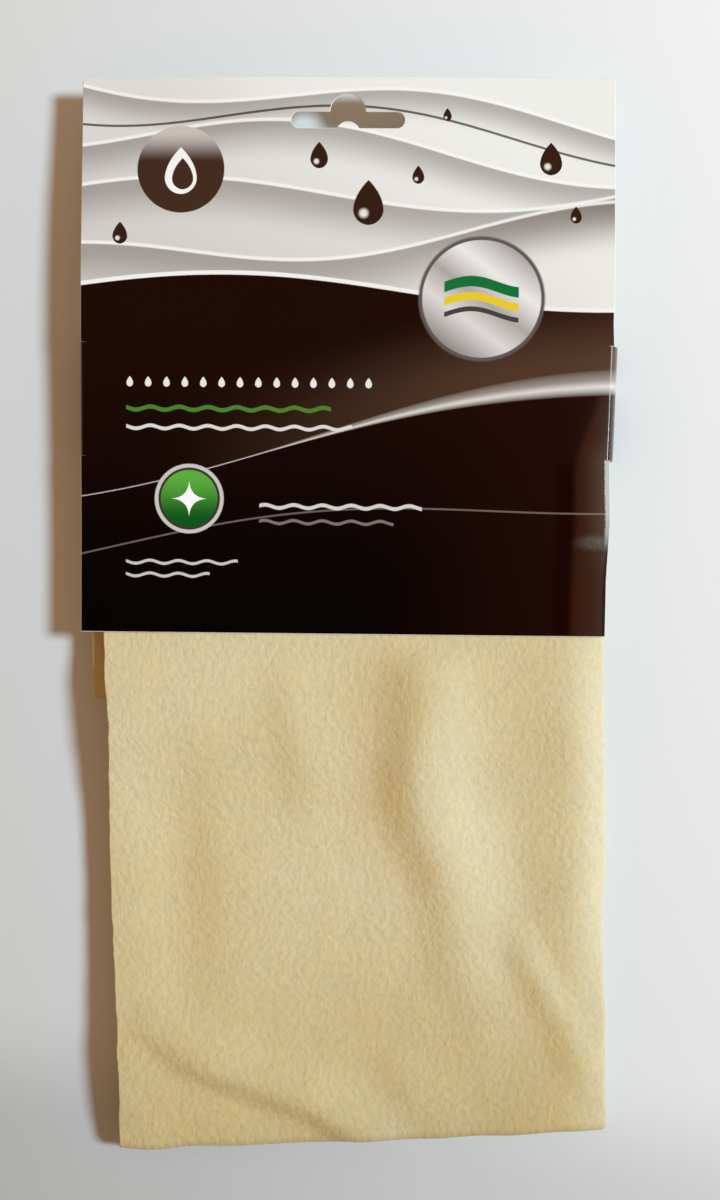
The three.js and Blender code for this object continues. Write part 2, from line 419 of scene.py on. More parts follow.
def dark_ground(f, x, y):
    """Brown above and nearly black below, with a lighter swell and a silver band at the right."""
    brown = f.mix(f.step(y, 6.0, 92.0), tint(5, 2, 2), tint(30, 9, 5))
    brown = f.mix(f.step(x, 0.0, 70.0) * 0.7, brown, tint(36, 9, 4))

    # Low down by the right edge, a nearly black band, then a brown streak with a dull glint: a
    # painted reflection of the lamp on the curled edge.
    black_band = f.step(x, 58.0, 62.0) * f.fade(y, 44.0, 52.0)
    brown = f.mix(black_band * 0.85, brown, tint(24, 1, 0))
    painted_sheen = f.step(x - f.step(y, 46.0, 70.0) * 6.0, 63.6, 66.6) * f.fade(y, 64.0, 80.0)
    painted_sheen = painted_sheen * f.fade(x, STRAP_ROOT, STRAP_ROOT + 1.0)
    brown = f.mix(painted_sheen * 0.72, brown, tint(60, 29, 14))
    glint = painted_sheen * f.step(x, 66.0, 74.0) * (0.1 + f.step(y, 14.0, 34.0) * f.fade(y, 48.0, 58.0))
    brown = f.mix(glint * 0.3, brown, tint(96, 80, 66))

    above = y - wave(x, *SWELL_WAVE)
    glow = f.step(above, -0.3, 0.3) * f.fade(above, 3.0, 27.0) * f.step(x, -60.0, 70.0)
    brown = f.mix(glow * 0.9, brown, tint(84, 58, 42))
    band_half = f.step(x, -30.0, 80.0) * 3.4 + 0.22
    sheen = f.ramp(above / (band_half * 2.0) + 0.5, [
        (0.0, tint(66, 52, 45)), (0.35, tint(214, 208, 202)), (0.6, tint(150, 140, 132)),
        (1.0, tint(92, 78, 68))])
    brown = f.mix(f.fade(abs(above) - band_half, -0.12, 0.12), brown, sheen)
    trail = f.fade(abs(y - wave(x, *TRAIL_WAVE)), 0.15, 0.35)
    return f.mix(trail * 0.45, brown, tint(150, 134, 120))


def add_drops(f, x, y, colour):
    """Loose drops on the silver ground, and a row of small ones on the dark ground."""
    for centre, radius in LOOSE_DROPS:
        colour = f.mix(drop_mask(f, x, y, centre, radius), colour, tint(52, 30, 20))
        spot = disc_distance(x, y, (centre[0] - radius * 0.3, centre[1] - radius * 0.25))
        colour = f.mix(f.fade(spot, radius * 0.12, radius * 0.42), colour, tint(228, 222, 214))
    cell = (x + DROP_ROW_SHIFT).math("MODULO", DROP_SPACING) - DROP_SPACING / 2
    row = drop_mask(f, cell, y, (0, DROP_ROW_Y), SMALL_DROP)
    first, last = DROP_ROW_ENDS
    within = f.step(x, first - 0.1, first + 0.1) * f.fade(x, last - 0.1, last + 0.1)
    return f.mix(row * within, colour, tint(226, 224, 220))


def add_drop_badge(f, x, y, colour):
    """A brown badge with a white drop, at the upper left."""
    cx, cy = DROP_BADGE
    face = f.mix(f.step(y, cy + 2.0, cy + 11.0), BROWN_INK, tint(196, 188, 180))
    colour = f.mix(f.fade(disc_distance(x, y, DROP_BADGE), 12.1, 12.4), colour, face)
    colour = f.mix(drop_mask(f, x, y, (cx, cy - 2.4), 4.6), colour, tint(240, 238, 232))
    return f.mix(drop_mask(f, x, y, (cx + 0.5, cy - 2.6), 3.1), colour, BROWN_INK)


def add_stripe_badge(f, x, y, colour):
    """A silver badge on the edge between both grounds, with three wavy stripes."""
    cx, cy = STRIPE_BADGE
    distance = disc_distance(x, y, STRIPE_BADGE)
    colour = f.mix(f.fade(distance, 17.2, 18.0), colour, tint(92, 84, 80))
    brushed = f.ramp(((x - cx) * 0.6 + (y - cy) * 0.8) / 36.0 + 0.5, [
        (0.0, tint(120, 112, 108)), (0.3, tint(214, 210, 206)), (0.5, tint(168, 160, 156)),
        (0.72, tint(228, 226, 223)), (1.0, tint(150, 142, 138))])
    colour = f.mix(f.fade(distance, 16.4, 16.7), colour, brushed)
    ends = f.fade(abs(x - cx), 10.2, 10.5)
    for height, half, ink in STRIPES:
        stripe = wave(x, cy + height, 0.0, 1.6, 4.6, 0.2)
        colour = f.mix(f.fade(abs(y - stripe) - half, -0.1, 0.1) * ends, colour, ink)
    return colour


def add_glint_badge(f, x, y, colour):
    """A green badge with a white four-pointed glint, at the lower left."""
    cx, cy = GLINT_BADGE
    distance = disc_distance(x, y, GLINT_BADGE)
    colour = f.mix(f.fade(distance, 9.7, 10.0), colour, RIM_INK)
    colour = f.mix(f.fade(distance, 8.7, 8.9), colour, tint(58, 50, 44))
    green = f.mix(f.step(y, cy - 6.0, cy + 7.0), tint(10, 84, 26), tint(88, 168, 60))
    colour = f.mix(f.fade(distance, 8.0, 8.2), colour, green)
    arms = (abs(x - cx) + 0.02) ** 0.5 + (abs(y - cy) + 0.02) ** 0.5
    return f.mix(f.fade(arms, 2.35, 2.45), colour, tint(244, 244, 240))


def add_thin_waves(f, x, y, colour):
    for middle, half, start, end, ink in THIN_WAVES:
        ripple = wave(x, middle, 0.0, 0.45, 1.3, 0.0)
        mask = f.fade(abs(y - ripple), half, half + 0.2)
        mask = mask * f.step(x, start - 0.1, start + 0.1) * f.fade(x, end - 0.1, end + 0.1)
        colour = f.mix(mask, colour, ink)
    return colour


def print_finish():
    """Coated card, printed with silver waves over dark brown, drops and round badges."""
    f = Finish("printed_card_face")
    place = f.node("ShaderNodeUVMap", {"uv_map": "blank"})
    x, y, _ = f.parts(place)
    x, y = (x - 0.5) * BLANK_SPAN, y * BLANK_SPAN

    # The edge between both grounds is one long wave with a silver rim.
    over_divide = y - wave(x, *DIVIDE_WAVE)
    colour = f.mix(f.step(over_divide, -0.15, 0.15), dark_ground(f, x, y), silver_ground(f, x, y))
    colour = f.mix(f.fade(abs(over_divide), 0.45, 0.75), colour, tint(236, 233, 228))
    for add in (add_drops, add_drop_badge, add_stripe_badge, add_thin_waves, add_glint_badge):
        colour = add(f, x, y, colour)

    # Along the right strap's crease the print is paler: partly cracked print, partly a painted
    # highlight of the crease. Below the strap the strip by the right edge is painted pale, a
    # painted highlight, and lower down the print is scuffed.
    metric = f.node("ShaderNodeVectorMath", {"operation": "SCALE"}, {0: place, "Scale": BLANK_SPAN})
    speck = f.clouds(metric, 0.7, 3.0, 0.6)
    by_strap = f.step(y, STRAP_FOOT + 8.0, STRAP_FOOT + 20.0) * f.fade(
        y, STRAP_HEAD - 0.4, STRAP_HEAD + 0.6)
    crease = f.fade(abs(x - STRAP_ROOT - 0.75) + speck * 0.4, 0.2, 0.6)
    painted_edge_highlight = f.step(x + speck, STRAP_ROOT + 0.4, STRAP_ROOT + 0.9)
    below_strap = f.step(y, STRAP_FOOT - 26.0, STRAP_FOOT - 14.0) * f.fade(
        y, STRAP_FOOT - 0.6, STRAP_FOOT)
    crease_wear_and_highlight = crease * by_strap * f.step(speck, 0.30, 0.50) + painted_edge_highlight * below_strap
    smear = disc_distance((x - 70.5) * 0.42, y + speck * 1.5, (0, 27.4))
    scuffed = f.fade(smear, 0.6, 3.0) * (0.35 + f.step(speck, 0.3, 0.75) * 0.3)
    colour = f.mix(crease_wear_and_highlight * 0.7, colour, tint(196, 194, 190))
    colour = f.mix(scuffed * 0.5, colour, tint(104, 104, 100))

    haze = f.clouds(metric, 0.05, 2.0)
    fibre = f.clouds(metric, 2.2, 3.0, 0.6)
    return f.surface({
        "Base Color": colour,
        "Roughness": 0.15 + haze * 0.06 + crease_wear_and_highlight * 0.4 + scuffed * 0.2,
        "Specular IOR Level": 0.3,
        "Specular Tint": tint(255, 236, 212),
        "Normal": f.bump(fibre * 0.6 + crease_wear_and_highlight, 0.25, 0.05 * MM),
    })


def board_finish():
    """The card's bare white board, at its cut edges and on its inner side."""
    f = Finish("bare_board")
    place = f.node("ShaderNodeTexCoord", {}, out="Object")
    fibre = f.clouds(place, 1400.0, 4.0, 0.7)
    return f.surface({
        "Base Color": f.mix(fibre, tint(214, 206, 190), tint(240, 235, 224)),
        "Roughness": 0.85,
        "Specular IOR Level": 0.3,
        "Normal": f.bump(fibre, 0.3, 0.08 * MM),
    })


def new_piece(name, mesh_maker, finishes, body, nodes):
    mesh = bpy.data.meshes.new(name)
    mesh_maker.to_mesh(mesh)
    mesh_maker.free()
    for finish in finishes:
        mesh.materials.append(finish)
    piece = bpy.data.objects.new(name, mesh)
    bpy.context.scene.collection.objects.link(piece)
    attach(piece, body)
    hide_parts(*nodes)
    return piece


# ---- the leather

# The grid: cells across each of the three layers, steps round a fold, and rows down each run.
# A cell beside a cut edge is narrow, so that the face isn't shaded towards the edge's wall.
LAYER_CELLS = (72, 30, 34)
ACROSS_STEPS = 8
ALONG_STEPS = 10
HIDDEN_FRONT_ROWS = 30
SEEN_FRONT_ROWS = 80
SEEN_FROM_Y = 2
BACK_ROWS = 56
TAIL_ROWS = 30
CUT_STRIP = 0.25

# Past the sleeve the pack lies looser, and its top layer covers the folds beneath it.
PUFFED_SHARE = 1.28
TOP_LAYER_REACH = 1.7
SHOULDER_WIDTH = 13
SHOULDER_FALL = 0.19
LEFT_ROLL_WIDTH = 6
LEFT_ROLL_FALL = 0.02
PRESSED_FALL = 0.03

# Soft creases in the front of the pack. Each is a crest: the reach of its slopes on the side
# towards -X and on the other, then the places along it with the crest's height there.
CRESTS = [
    (17, 25, [(19, -4, 0.6), (19.8, -18, 1.35), (20, -29, 1.6), (18.2, -41, 1.8), (17.8, -50, 1.9),
              (20.5, -60, 1.95), (25, -69, 2.0), (28, -78, 1.6), (28.8, -86, 1.25), (30, -95, 0.95),
              (33, -106, 0.75), (37, -115, 0.5), (43, -125, 0)]),
    (26, 23, [(20, -4, 0.6), (20, -24, 0.9), (19, -42, 0.75), (20, -58, 0.6), (27, -80, 0.3),
              (31, -100, 0.3), (42, -124, 0)]),
    (26, 14, [(62, -12, 0.2), (63, -36, 0.9), (63.5, -55, 1.2), (63.5, -75, 1.3),
              (64, -90, 0.7), (64, -102, 0)]),
    (10, 8, [(43, -84, 0), (49, -97, 1.05), (53.5, -106, 1.15), (59, -117, 0.65),
             (70, -138, 0.25)]),
    (6, 18, [(-66, -113, 0), (-56, -120, 0.9), (-46, -126, 1.6), (-31, -132, 1.9),
             (-14, -138.5, 2.1), (2, -148, 1.6)]),
    (17, 15, [(-48, -34, 0), (-50, -54, -0.6), (-49, -80, -0.8), (-48, -102, -0.45),
              (-46, -114, 0)]),
    (11, 16, [(-19, -8, 0.2), (-17, -25, 0.6), (-14, -45, 0.6), (-11, -64, 0)]),
    (10, 14, [(8, -122, 0), (14, -133, 0.5), (24, -144, 0.4)]),
]

# How far the left side of the pack stands up, and how far its side edges stray from straight,
# at places along Y.
LEFT_LIFT = [(-150, -0.3), (-144, 1.0), (-138, 2.1), (-130, 2.6), (-118, 2.4), (-105, 1.6),
             (-92, 0.8), (-78, 0.4), (-60, 0.6), (-40, 0.4), (-30, 0.8), (-20, 1.5), (-8, 1.2)]
LEFT_EDGE = [(-150, 2.4), (-130, 2.5), (-112, 2.4), (-100, 1.7), (-90, 1.0), (-62, 1.0),
             (-48, 1.4), (-36, 1.8), (-28, 2.1), (-22, 1.5), (-14, 0.9), (-4, 0.6), (8, 0)]
RIGHT_EDGE = [(-150, 0.3), (-115, 0.3), (-105, -0.3), (-80, -0.3), (-70, 0.3), (-55, 0.2),
              (-40, -0.2), (-20, -0.6), (-8, -0.5), (5, 0)]


def arc(centre, radius, start, end, steps):
    """Points round an arc but its first and last, with the way each faces and its share."""
    for step in range(1, steps):
        angle = lerp(start, end, step / steps)
        facing = (math.cos(angle), math.sin(angle))
        yield centre[0] + radius * facing[0], centre[1] + radius * facing[1], facing, step / steps


def columns_across():
    """Distance over the sheet, place across and height, for each column of the folded strip."""
    half = FLAT_ACROSS / 2
    bend = math.pi * ACROSS_RADIUS
    layers = [(-half, half, LAYER_PITCH), (half, -half, 0), (-half, half, -LAYER_PITCH)]
    columns = []
    for layer, (start, end, height) in enumerate(layers):
        first = layer * (FLAT_ACROSS + bend)
        shares = list(np.linspace(0, 1, LAYER_CELLS[layer] + 1))
        if layer == 0:
            shares.insert(1, CUT_STRIP / FLAT_ACROSS)
        if layer == 2:
            shares.insert(-1, 1 - CUT_STRIP / FLAT_ACROSS)
        columns += [(first + share * FLAT_ACROSS, lerp(start, end, share), height)
                    for share in shares]
        if layer == 2:
            break
        middle = (end, height - ACROSS_RADIUS)
        turn = -QUARTER if layer == 0 else 3 * QUARTER
        for place, level, _, share in arc(middle, ACROSS_RADIUS, QUARTER, turn, ACROSS_STEPS):
            columns.append((first + FLAT_ACROSS + share * bend, place, level))
    return [np.array(column) for column in zip(*columns)]


def lift_at(y):
    return PACK_LIFT * smooth_step(STRAP_BOTTOM - 30, STRAP_BOTTOM - 4, y)


def front_rise_at(y):
    return STRIP_PITCH * (1 + smooth_step(TAIL_END - 37, TAIL_END - 3, y))


def rows_along():
    """Distance down the sheet, place in Y and Z, the upper side's facing, and lean, row by row."""
    rows = []
    travelled = 0

    def run(stops, height_at, facing, lean=0):
        nonlocal travelled
        for index, y in enumerate(stops):
            if index:
                travelled += abs(y - stops[index - 1])
            slope = (height_at(y + 0.2) - height_at(y - 0.2)) / 0.4
            size = math.hypot(slope, 1) * facing
            rows.append((travelled, y, height_at(y), -slope / size, 1 / size,
                         lean * smooth_step(0, TAIL_LENGTH, abs(y - stops[0]))))

    def bend(centre, start, end):
        nonlocal travelled
        for y, z, facing, share in arc(centre, ALONG_RADIUS, start, end, ALONG_STEPS):
            rows.append((travelled + share * math.pi * ALONG_RADIUS, y, z, *facing, 0))
        travelled += math.pi * ALONG_RADIUS

    def back_at(y):
        return STRIP_HALF + lift_at(y)

    front = [PACK_TOP,
             *np.linspace(PACK_TOP - CUT_STRIP, SEEN_FROM_Y, HIDDEN_FRONT_ROWS, endpoint=False),
             *np.linspace(SEEN_FROM_Y, BOTTOM_FOLD_Y, SEEN_FRONT_ROWS)]
    run(front, lambda y: back_at(y) + front_rise_at(y), 1)
    bend((BOTTOM_FOLD_Y, STRIP_HALF + ALONG_RADIUS), QUARTER, 3 * QUARTER)
    run(list(np.linspace(BOTTOM_FOLD_Y, TOP_FOLD_Y, BACK_ROWS)), back_at, -1)
    bend((TOP_FOLD_Y, STRIP_HALF + PACK_LIFT + ALONG_RADIUS), -QUARTER, QUARTER)
    tail = [*np.linspace(TOP_FOLD_Y, TAIL_END + CUT_STRIP, TAIL_ROWS), TAIL_END]
    run(tail, lambda y: back_at(y) + STRIP_PITCH, 1, TAIL_LEAN)
    return [np.array(row) for row in zip(*rows)]


def crest_lift(x, y):
    """How far the creases raise the pack's face at each place."""
    total = np.zeros_like(x)
    for near_side, far_side, line in CRESTS:
        nearest = np.full_like(x, 1e9)
        height = np.zeros_like(x)
        for (x0, y0, h0), (x1, y1, h1) in zip(line, line[1:]):
            dx, dy = x1 - x0, y1 - y0
            share = np.clip(((x - x0) * dx + (y - y0) * dy) / (dx * dx + dy * dy), 0, 1)
            gap_x, gap_y = x - x0 - share * dx, y - y0 - share * dy
            reach = np.where(dx * gap_y - dy * gap_x < 0, near_side, far_side)
            gap = np.hypot(gap_x, gap_y)
            closer = gap / reach < nearest
            nearest = np.where(closer, gap / reach, nearest)
            height = np.where(closer, lerp(h0, h1, share), height)
        total += height * (0.5 + 0.5 * np.cos(math.pi * np.minimum(nearest, 1))) ** 1.4
    return total


def rolling(x, y, length, seed):
    """Gentle ups and downs of about that length, the same each time."""
    flat = zip(x.ravel(), y.ravel())
    values = [noise.noise(Vector((px / length, py / length, seed))) for px, py in flat]
    return np.array(values).reshape(x.shape)


def raise_pack(x, y, z):
    """The pack's heights once it is puffed up, rounded, pressed and creased, and how far it slopes
    towards the lamp.
    """
    # Nearer the card the pack stays as thick as it is inside it.
    floor = lift_at(y)
    rise = front_rise_at(y) + 2 * STRIP_HALF
    sleeved_share = (PACK_LIFT + THICK_PACK - floor) / THICK_PACK
    puffed = lerp(PUFFED_SHARE, sleeved_share, smooth_step(-58, -6, y))

    # The right edge is rounded, the left one a little, and the card presses its left side down.
    shoulder = np.clip((x - (PACK_HALF - SHOULDER_WIDTH)) / SHOULDER_WIDTH, 0, 1.05)
    rounded = 1 - SHOULDER_FALL * shoulder**2
    roll = np.clip((-x - (PACK_HALF - LEFT_ROLL_WIDTH)) / LEFT_ROLL_WIDTH, 0, 1)
    left_roll = 1 - LEFT_ROLL_FALL * roll**2
    pressed = 1 - PRESSED_FALL * smooth_step(-56, -66, x) * smooth_step(4, 24, y) * smooth_step(
        66, 48, y)

    # Past the card the face has its creases, and the left side stands up.
    free = 1 - smooth_step(-15, -4, y)
    left_lift = sum(stray_at(LEFT_LIFT, y + shift) for shift in (-4, 0, 4)) / 3 * smooth_step(
        10, -70, x)
    lift = (crest_lift(x, y) + left_lift + 0.45 * rolling(x, y, 34, 3.1)
            + 0.2 * rolling(x, y, 11, 7.7))
    # How far the creased face slopes towards the lamp at the right. The nap's colour follows it, a
    # painted light.
    nap_lay = free * (crest_lift(x - 1.5, y) - crest_lift(x + 1.5, y)) / 3
    height = (z - floor) * puffed * rounded * left_roll * pressed * (1 + free * lift / rise)
    return floor + height, nap_lay


def fray_outline(x, y, over, row_z):
    """The pack's X and Y once its outline is ragged and isn't ruler straight."""
    side = x / PACK_HALF
    wide = 0.8 * smooth_step(-110, -20, y)
    x = x + side * (wide + 0.5 * rolling(y * 0 + 5, y, 24, 1.3))
    ragged = (0.25 * rolling(over / 8 + row_z, y, 5, 6.2)
              + 0.2 * rolling(over / 8 + row_z, y, 2.2, 9.1))
    edge = np.where(side < 0, stray_at(LEFT_EDGE, y), stray_at(RIGHT_EDGE, y))
    x = x + side * ragged + edge * smooth_step(0.55, 1, abs(side))
    x = x - TOP_LAYER_REACH * (1 - smooth_step(0, 60, over))

    # The bottom fold bows down in its middle, and sags beside its left corner.
    low = 1 - smooth_step(PACK_BOTTOM, PACK_BOTTOM + 30, y)
    sag = 0.8 * smooth_step(-0.66, -0.84, side) * (1 - 0.85 * smooth_step(-0.86, -1, side))
    bow = 0.6 * (1 - side**4) + 0.5 * rolling(x, x * 0 + 2, 15, 4.4) + sag
    return x, y - low * bow


def folded_places():
    """Every point of the sheet, folded up: the distances over it, X, Y, Z and its slope towards the
    lamp.
    """
    over, place, level = columns_across()
    down, row_y, row_z, up_y, up_z, lean = (part[:, None] for part in rows_along())
    x = place - lean
    y = row_y + level * up_y
    z = row_z + level * up_z
    skew_start = PACK_BOTTOM + SKEW_SHARE * FOLDED_LENGTH
    y = y + BOTTOM_SKEW * (1 - smooth_step(PACK_BOTTOM, skew_start, y)) * place / PACK_WIDTH

    z, nap_lay = raise_pack(x, y, z)
    x, y = fray_outline(x, y, over, row_z)
    turned_x = x * math.cos(PACK_TURN) - y * math.sin(PACK_TURN) + PACK_OFFSET
    turned_y = x * math.sin(PACK_TURN) + y * math.cos(PACK_TURN)
    return over, down[:, 0], turned_x, turned_y, z, nap_lay


def make_leather():
    over, down, x, y, z, nap_lay = folded_places()
    columns, rows = len(over) - 1, len(down) - 1
    bm = bmesh.new()
    bmesh.ops.create_grid(bm, x_segments=columns, y_segments=rows, size=1)
    cut = bm.loops.layers.uv.new("cut")
    lit_slope = bm.verts.layers.float.new("nap_lay")
    flat = {}
    for vert in bm.verts:
        column = round((vert.co.x + 1) / 2 * columns)
        row = round((1 - vert.co.y) / 2 * rows)
        flat[vert] = (over[column] * MM, (SHEET_LENGTH - down[row]) * MM)
        vert.co = Vector((x[row, column], y[row, column], z[row, column])) * MM
        vert[lit_slope] = nap_lay[row, column]
    for face in bm.faces:
        face.smooth = True
        for loop in face.loops:
            loop[cut].uv = flat[loop.vert]
    leather = new_piece("folded_chamois", bm, [leather_finish()], "folded_leather",
                        ["chamois_leather"])
    wall = leather.modifiers.new("thickness", "SOLIDIFY")
    wall.thickness = LEATHER_THICK * MM
    wall.offset = 0


# ---- the card sleeve

WALL_LENGTH = 12.0
CREASE_LENGTH = QUARTER * CREASE_RADIUS
FLAP_LENGTH = CREASE_X + LAP_WIDTH / 2
STRAP_REACH = STRAP_ROOT + CREASE_LEAD + 2 * CREASE_LENGTH + WALL_LENGTH + FLAP_LENGTH
WALL_LEANS = {1: math.radians(31), -1: math.radians(5)}
WALL_PULL = 0.36
LAP_GAP = 0.01

# Where the flat blank is cut across, so that it can be folded and curled.
PANEL_STEP = 4
FINE_FROM = 60
FINE_STEP = 1.2
CREASE_STEPS = 8
WALL_STEPS = 12
FLAP_STEP = 8
SLOT_ARC_STEPS = 16

# How the panel's sides are drawn down: over what reach, how steeply, and where along Y.
CURLS = {1: (13, 0.2, 105, 55), -1: (18, 0.12, 60, 5)}

# How much further, in radians, the strip past the right crease is bent over below the strap.
STRIP_BEND = 0.2

# How far the panel's side edges stray from straight, at places along Y.
RIGHT_STRAY = [(-4, -0.8), (13, -0.6), (28, 0.3), (40, 0.1), (46, 0.0), (58, 0.4), (78, 0.9),
               (83, 0.6), (100, 0.7), (130, 0.4), (154, 0.1)]
LEFT_STRAY = [(-4, 0.5), (50, 0.08), (96, -0.24), (120, -0.2), (154, -0.4)]

# How far the panel's left edge lies above or below level, and how far its header bows up.
LEFT_RISE = [(0, 0.4), (12, 0.3), (24, -0.05), (36, -0.25), (48, 0), (60, 0.2), (78, 0.65),
             (100, 0.6), (112, 0.45), (124, 0), (136, -0.9), (146, -1.5), (154, -1.95)]
HEADER_BOW = [(116, 0), (130, 0.3), (154, 1.0)]


def slot_outline():
    top = PANEL_TOP - SLOT_DROP
    end = SLOT_HEIGHT / 2
    arm = SLOT_LENGTH / 2 - end
    floor = top - SLOT_HEIGHT
    tilt = math.asin((SLOT_BUMP - SLOT_BUMP_RISE) / SLOT_BUMP)
    arcs = [((-arm, top - end), end, QUARTER, 3 * QUARTER),
            ((0, floor + SLOT_BUMP_RISE - SLOT_BUMP), SLOT_BUMP, math.pi - tilt, tilt),
            ((arm, top - end), end, -QUARTER, QUARTER),
            ((0, top), SLOT_HUMP, 0, math.pi)]
    points = []
    for (cx, cy), radius, start, finish in arcs:
        for step in range(SLOT_ARC_STEPS + 1):
            angle = lerp(start, finish, step / SLOT_ARC_STEPS)
            points.append((cx + radius * math.cos(angle), cy + radius * math.sin(angle)))
    return points


def blank_outline():
    """The card as it was cut: the panel with a strap out to each side."""
    right = [(PANEL_HALF, PANEL_BOTTOM), (PANEL_HALF, STRAP_BOTTOM - RELIEF_CUT),
             (STRAP_ROOT, STRAP_BOTTOM - RELIEF_CUT), (STRAP_ROOT, STRAP_BOTTOM),
             (STRAP_REACH, STRAP_BOTTOM), (STRAP_REACH, STRAP_TOP), (STRAP_ROOT, STRAP_TOP),
             (STRAP_ROOT, STRAP_TOP + RELIEF_CUT), (PANEL_HALF, STRAP_TOP + RELIEF_CUT),
             (PANEL_HALF, PANEL_TOP)]
    return right + [(-x, y) for x, y in reversed(right)]


def panel_point(s, y, side):
    """The panel's middle at a place across it: its X and Z, and its heading below level."""
    width, steepest, high, low = CURLS[side]
    start = PANEL_HALF - width
    if s <= start:
        return s, PANEL_MIDDLE, 0.0
    curl = max(steepest * float(smooth_step(high, low, y)), 1e-4)
    share = (min(s, STRAP_ROOT) - start) / width
    reach = width / curl
    x = start + reach * math.sin(curl * share)
    z = PANEL_MIDDLE - reach * (1 - math.cos(curl * share))
    heading = curl * share
    if s > STRAP_ROOT:
        # The strap's crease runs on down the panel, and the strip past it is bent over.
        below = y < STRAP_BOTTOM and side > 0
        heading += STRIP_BEND * float(smooth_step(14, STRAP_BOTTOM - 4, y)) if below else 0
        x += (s - STRAP_ROOT) * math.cos(heading)
        z -= (s - STRAP_ROOT) * math.sin(heading)
    return x, z, heading


def wall_point(start, start_angle, end, end_angle, share):
    """A place on the strap's side wall, a soft curve between its two creases, and its heading."""
    (ax, az), (bx, bz) = start, end
    pull = WALL_PULL * math.hypot(bx - ax, bz - az)
    c1x, c1z = ax + pull * math.cos(start_angle), az - pull * math.sin(start_angle)
    c2x, c2z = bx - pull * math.cos(end_angle), bz + pull * math.sin(end_angle)
    t, u = share, 1 - share
    x = u**3 * ax + 3 * u * u * t * c1x + 3 * u * t * t * c2x + t**3 * bx
    z = u**3 * az + 3 * u * u * t * c1z + 3 * u * t * t * c2z + t**3 * bz
    dx = u * u * (c1x - ax) + 2 * u * t * (c2x - c1x) + t * t * (bx - c2x)
    dz = u * u * (c1z - az) + 2 * u * t * (c2z - c1z) + t * t * (bz - c2z)
    return x, z, math.atan2(-dz, dx)


def crease_point(centre, angle):
    """A place round a crease, facing that angle off upright."""
    return (centre[0] + CREASE_RADIUS * math.sin(angle),
            centre[1] + CREASE_RADIUS * math.cos(angle))


def strap_point(s, y, side):
    """The strap's middle past its root: round its crease, down the wall and in under the pack."""
    flap_middle = CARD_THICK / 2 if side > 0 else CARD_THICK * 3 / 2 + LAP_GAP
    root_x, root_z, heading = panel_point(STRAP_ROOT, y, side)
    past = s - STRAP_ROOT
    sections = [CREASE_LEAD, CREASE_LENGTH, WALL_LENGTH, CREASE_LENGTH, FLAP_LENGTH]
    number = 0
    while number < 4 and past > sections[number]:
        past -= sections[number]
        number += 1
    share = min(past / sections[number], 1.0)

    lead_x = root_x + CREASE_LEAD * math.cos(heading)
    lead_z = root_z - CREASE_LEAD * math.sin(heading)
    if number == 0:
        return lerp(root_x, lead_x, share), lerp(root_z, lead_z, share), heading
    high = (lead_x - CREASE_RADIUS * math.sin(heading), lead_z - CREASE_RADIUS * math.cos(heading))
    high_turn = QUARTER - WALL_LEANS[side] - heading
    if number == 1:
        angle = heading + high_turn * share
        return *crease_point(high, angle), angle
    low = (CREASE_X, flap_middle + CREASE_RADIUS)
    low_angle = QUARTER + WALL_LEANS[side]
    if number == 2:
        high_angle = heading + high_turn
        return wall_point(crease_point(high, high_angle), high_angle,
                          crease_point(low, low_angle), low_angle, share)
    if number == 3:
        angle = lerp(low_angle, math.pi, share)
        return *crease_point(low, angle), angle
    return lerp(CREASE_X, -LAP_WIDTH / 2, share), flap_middle, math.pi


def fold_card(s, y, depth):
    """Where a point of the flat blank goes, depth being how far it is below the printed side."""
    side = 1 if s >= 0 else -1
    reach = abs(s)
    on_strap = reach > STRAP_ROOT + 1e-6 and STRAP_BOTTOM - 1e-6 <= y <= STRAP_TOP + 1e-6
    x, z, heading = (strap_point if on_strap else panel_point)(reach, y, side)
    out = CARD_THICK / 2 - depth
    x += out * math.sin(heading)
    z += out * math.cos(heading)
    share = float(smooth_step(25, 74, reach))
    high = float(smooth_step(0, 6, z))
    z += stray_at(HEADER_BOW, y) * (1 - share)
    if side > 0:
        return x + stray_at(RIGHT_STRAY, y) * share * high, y, z
    return stray_at(LEFT_STRAY, y) * share * high - x, y, z + stray_at(LEFT_RISE, y) * share * high


def beside_relief_cut(edge):
    """Whether an edge of the flat card lies along one of the short cuts that free the straps."""
    middle = (edge.verts[0].co + edge.verts[1].co) / 2
    from_cut = min(abs(middle.y - STRAP_BOTTOM + RELIEF_CUT / 2),
                   abs(middle.y - STRAP_TOP - RELIEF_CUT / 2))
    return from_cut < RELIEF_CUT and STRAP_ROOT - RELIEF_CUT < abs(middle.x) < PANEL_HALF


def cut_blank(bm):
    """The flat card: outline and slot filled, thickened, and bevelled round both faces."""
    for outline in (blank_outline(), slot_outline()):
        ring = [bm.verts.new((x, y, 0)) for x, y in outline]
        for pair in zip(ring, ring[1:] + ring[:1]):
            bm.edges.new(pair)
    bmesh.ops.remove_doubles(bm, verts=bm.verts, dist=1e-4)
    bmesh.ops.triangle_fill(bm, use_beauty=True, use_dissolve=False, edges=bm.edges[:])
    bmesh.ops.dissolve_limit(bm, angle_limit=0.01, verts=bm.verts[:], edges=bm.edges[:])
    grown = bmesh.ops.extrude_face_region(bm, geom=bm.faces[:])
    lowered = [item for item in grown["geom"] if isinstance(item, bmesh.types.BMVert)]
    bmesh.ops.translate(bm, verts=lowered, vec=(0, 0, -CARD_THICK))
    bmesh.ops.recalc_face_normals(bm, faces=bm.faces[:])
    rims = [edge for edge in bm.edges if len(edge.link_faces) == 2 and edge.calc_face_angle() > 1
            and abs(edge.verts[0].co.z - edge.verts[1].co.z) < 1e-6 and not beside_relief_cut(edge)]
    bmesh.ops.bevel(bm, geom=rims, offset=CARD_BEVEL, affect="EDGES", segments=1, profile=0.5,
                    material=-1)


